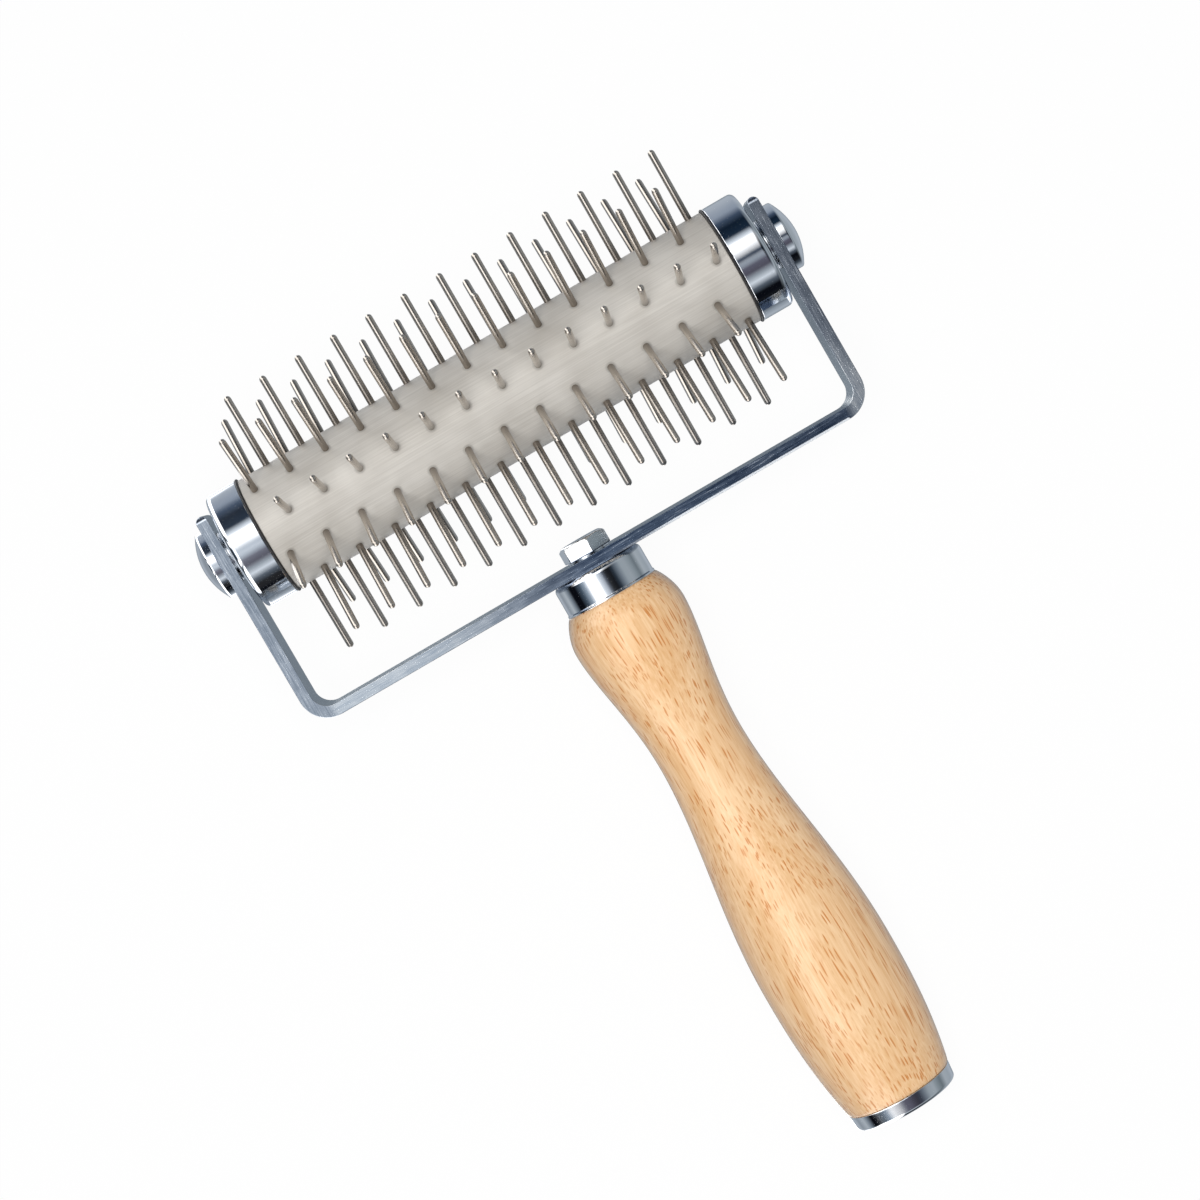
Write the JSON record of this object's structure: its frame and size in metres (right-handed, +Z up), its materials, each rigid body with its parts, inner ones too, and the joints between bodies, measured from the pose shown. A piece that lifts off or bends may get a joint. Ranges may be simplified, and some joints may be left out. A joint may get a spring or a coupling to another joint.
{
  "type": "dough docker",
  "caption": "Spiked dough roller: a pin-studded steel drum with chrome caps spins in a bent strap yoke on a turned wooden handle.",
  "frame": {"origin": "on the worktop under the middle of the whole tool, as it lies on its pins and on the swell of its handle", "axes": "+X along the roller, -Y towards the butt of the handle, +Z up from the worktop"},
  "size_m": [0.16, 0.2242, 0.0658],
  "materials": {
    "strap_steel": "scratched zinc-grey strap with bright edges",
    "plain_steel": "plain turned steel",
    "zinc_steel": "dull zinc",
    "chrome_plate": "mirror chrome",
    "drum_steel": "satin, finely brushed round the drum",
    "pin_steel": "polished stainless",
    "insert_brass": "plain brass",
    "beech": "clear-lacquered beech with ray flecks",
    "seal_rubber": "dark ring",
    "bush_plastic": "white bearing plastic"
  },
  "bodies": {
    "frame": {"yoke_strap": "strap_steel", "axle_rod": "plain_steel", "left_dome_head": "chrome_plate", "right_dome_head": "chrome_plate", "left_washer": "plain_steel", "right_washer": "plain_steel", "handle_bolt": "zinc_steel", "threaded_insert": "insert_brass", "front_ferrule": "chrome_plate", "handle_grip": "beech", "butt_cap": "chrome_plate"},
    "roller": {"drum_tube": "drum_steel", "left_end_cap": "chrome_plate", "right_end_cap": "chrome_plate", "left_seal_ring": "seal_rubber", "right_seal_ring": "seal_rubber", "left_bush": "bush_plastic", "right_bush": "bush_plastic", "pin_row_01": "pin_steel", "pin_row_02": "pin_steel", "pin_row_03": "pin_steel", "pin_row_04": "pin_steel", "pin_row_05": "pin_steel", "pin_row_06": "pin_steel", "pin_row_07": "pin_steel", "pin_row_08": "pin_steel", "pin_row_09": "pin_steel", "pin_row_10": "pin_steel"}
  },
  "joints": [
    {"name": "roller_spin", "type": "hinge", "parent": "frame", "child": "roller", "pos_m": [0, 0.08004, 0.03291], "axis": [1, 0, 0], "continuous": true}
  ]
}
